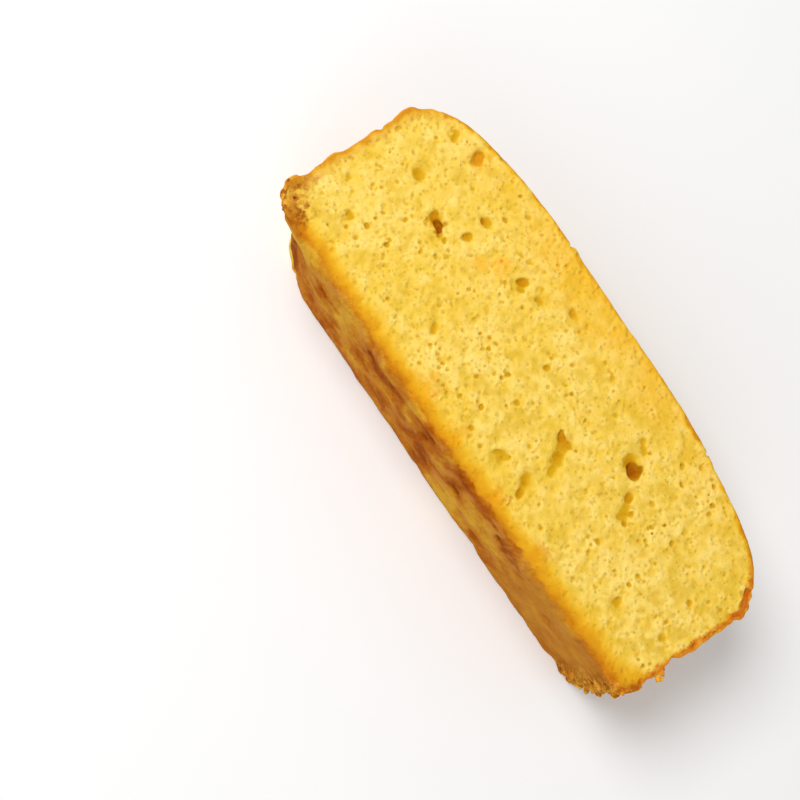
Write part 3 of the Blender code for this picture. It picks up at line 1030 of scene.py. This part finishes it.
    def dome_rim(self, face):
        """The golden zone under the dome."""
        off_middle = self.math("ABSOLUTE", self.math("ADD", self.along, 2 * MM))
        golden = self.product(
            self.between_mm(self.up, 31, 42),
            self.between_mm(off_middle, 14, 30, 1.0, 0.3),
            self.between(self.noise(7.0, 3), 0.3, 0.6, 0.3, 0.75),
        )
        return self.mix(golden, face, (232, 178, 44))

    def base_crust(self):
        """Patchy brown, more even toward the right, with painted shade in its bubbles."""
        shade = self.noise((5.5, 4.0, 7.5), 3, 0.5, 0.4)
        shade = self.math("ADD", shade, self.product(self.relief, 0.15))
        # the crust's stains, and painted shade along the furrow
        shade = self.math("SUBTRACT", shade, self.product(self.stain_and_furrow_shade, 0.19))
        colour = self.ramp(self.math("ADD", shade, self.sway(self.fine, 0.3)), BASE_CRUST)
        tan = self.between(self.noise((4.0, 3.0, 6.0), 3, 0.5, 0.6), 0.5, 0.66)
        colour = self.mix(self.product(tan, 0.5), colour, (200, 134, 58))
        colour = self.mix(self.between_mm(self.along, 22, 36, 0.0, 0.6), colour, (184, 120, 36))
        # painted shade in the bubbles of the crust, darker with depth
        return self.mix(self.between(self.pit, 0.4, 1.6), colour, (96, 40, 4))

    def top_crust(self):
        """Golden, with amber patches near the cut faces."""
        shade = self.math("ADD", self.noise(9.0, 5), self.product(self.relief, 0.3))
        colour = self.ramp(self.math("ADD", shade, self.sway(self.fine, 0.25)), TOP_CRUST)
        amber = self.product(
            self.between_mm(self.rim_height, 3, 9, 1.0, 0.0),
            self.between(self.noise(6.0, 3), 0.42, 0.6),
        )
        return self.mix(self.product(amber, 0.7), colour, (204, 118, 18))

    def crusts(self):
        end_shade = self.math("ADD", self.noise(3.0, 5), self.product(self.relief, 0.15))
        outside = self.mix(self.between_mm(self.up, 3, 6, 1.0, 0.0), self.top_crust(), self.base_crust())
        far = self.math("ABSOLUTE", self.along)
        return self.mix(self.between_mm(far, HALF - 5, HALF - 2), outside, self.ramp(end_shade, END_CRUST))

    def base_corners(self, colour):
        """Scorched bits at the left base corner; at the right one, painted shade among the crumbs and light
        crumbs.
        """
        left = self.product(self.between_mm(self.along, 3 - HALF, 6 - HALF, 1.0, 0.0), self.low)
        left = self.product(left, self.between(self.rim, 1.0, 2.0, 1.0, 0.0))
        scorched = self.product(left, self.between(self.noise(1.6, 3), 0.5, 0.58))
        colour = self.mix(self.product(scorched, 0.85), colour, (146, 74, 12))
        right = self.product(
            self.between_mm(self.along, HALF - 9, HALF - 3),
            self.between_mm(self.up, 3, 6, 1.0, 0.0),
            self.between(self.rim, 0.6, 1.6, 1.0, 0.0),
        )
        # painted shade among the crumbs at the right corner
        corner_shade = self.product(right, self.between(self.noise(1.5, 4, 0.65), 0.44, 0.6, 0.7, 0.0))
        colour = self.mix(corner_shade, colour, (142, 76, 10))
        light = self.product(right, self.between(self.noise(1.2, 4, 0.65), 0.54, 0.64, 0.0, 0.6))
        return self.mix(light, colour, (232, 178, 66))

    def grain(self, crust):
        """The finest unevenness, as bumps."""
        crumb_grain = self.bump(self.noise(0.55, 3), 0.16)
        crust_grain = self.bump(self.product(self.fine, crust), 0.5, crumb_grain)
        return self.bump(self.math("SUBTRACT", 1.0, self.fine_spots), 0.12, crust_grain)


def cake_material():
    s = SpongeShading()
    face = s.tinted_and_shaded(s.browned(s.crumb()))
    face = s.dome_rim(s.right_rim(s.base_rim(s.left_rim(face))))
    crust = s.crust_share()
    colour = s.base_corners(s.mix(crust, face, s.crusts()))
    s.plug(colour, s.shader.inputs["Base Color"])
    s.plug(s.grain(crust), s.shader.inputs["Normal"])
    s.shader.inputs["Roughness"].default_value = 0.85
    s.shader.inputs["Specular IOR Level"].default_value = 0.03
    s.shader.inputs["Subsurface Weight"].default_value = 0.35
    s.shader.inputs["Subsurface Radius"].default_value = (1.0, 0.6, 0.2)
    s.shader.inputs["Subsurface Scale"].default_value = 1.6 * MM
    return s.material


def floor():
    bpy.ops.mesh.primitive_plane_add(size=3.0)
    plane = bpy.context.object
    plane.name = "floor"
    material = bpy.data.materials.new("floor")
    material.use_nodes = True
    shader = material.node_tree.nodes["Principled BSDF"]
    shader.inputs["Base Color"].default_value = (0.86, 0.86, 0.86, 1)
    shader.inputs["Roughness"].default_value = 0.8
    plane.data.materials.append(material)


def camera():
    """The photograph's view: above the base side, turned so that the slice leans down to the right."""
    along, up, above = CAMERA_PLACE
    place = Vector((along - PLAN_CENTRE[0], up - PLAN_CENTRE[1], THICKNESS + above)) * MM
    data = bpy.data.cameras.new("camera")
    data.lens = 58.5
    data.sensor_width = 36.0
    data.clip_start = 0.01
    made = bpy.data.objects.new("camera", data)
    right, down, forward = (Vector(direction) for direction in CAMERA_AXES)
    turn = Matrix((right, -down, -forward)).transposed().to_4x4()
    made.matrix_world = Matrix.Translation(place) @ turn
    bpy.context.scene.collection.objects.link(made)
    bpy.context.scene.camera = made


def area_light(name, place, size, power):
    data = bpy.data.lights.new(name, "AREA")
    data.shape = "DISK"
    data.size = size
    data.energy = power
    made = bpy.data.objects.new(name, data)
    made.location = place
    made.rotation_euler = (Vector(LIT_POINT) - Vector(place)).to_track_quat("-Z", "Y").to_euler()
    bpy.context.scene.collection.objects.link(made)


def lights():
    area_light("key", (-0.31, -0.07, 0.53), 0.3, 2.66)
    area_light("fill", (0.3, -0.4, 0.4), 0.5, 0.8)
    world = bpy.data.worlds.new("studio")
    world.use_nodes = True
    world.node_tree.nodes["Background"].inputs["Color"].default_value = (1, 1, 1, 1)
    world.node_tree.nodes["Background"].inputs["Strength"].default_value = 0.47
    bpy.context.scene.world = world
    bpy.context.scene.view_settings.view_transform = "Standard"


cake = make_cake()
cake.data.materials.append(cake_material())
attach(cake, BODY)
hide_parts(NODE)
floor()
camera()
lights()
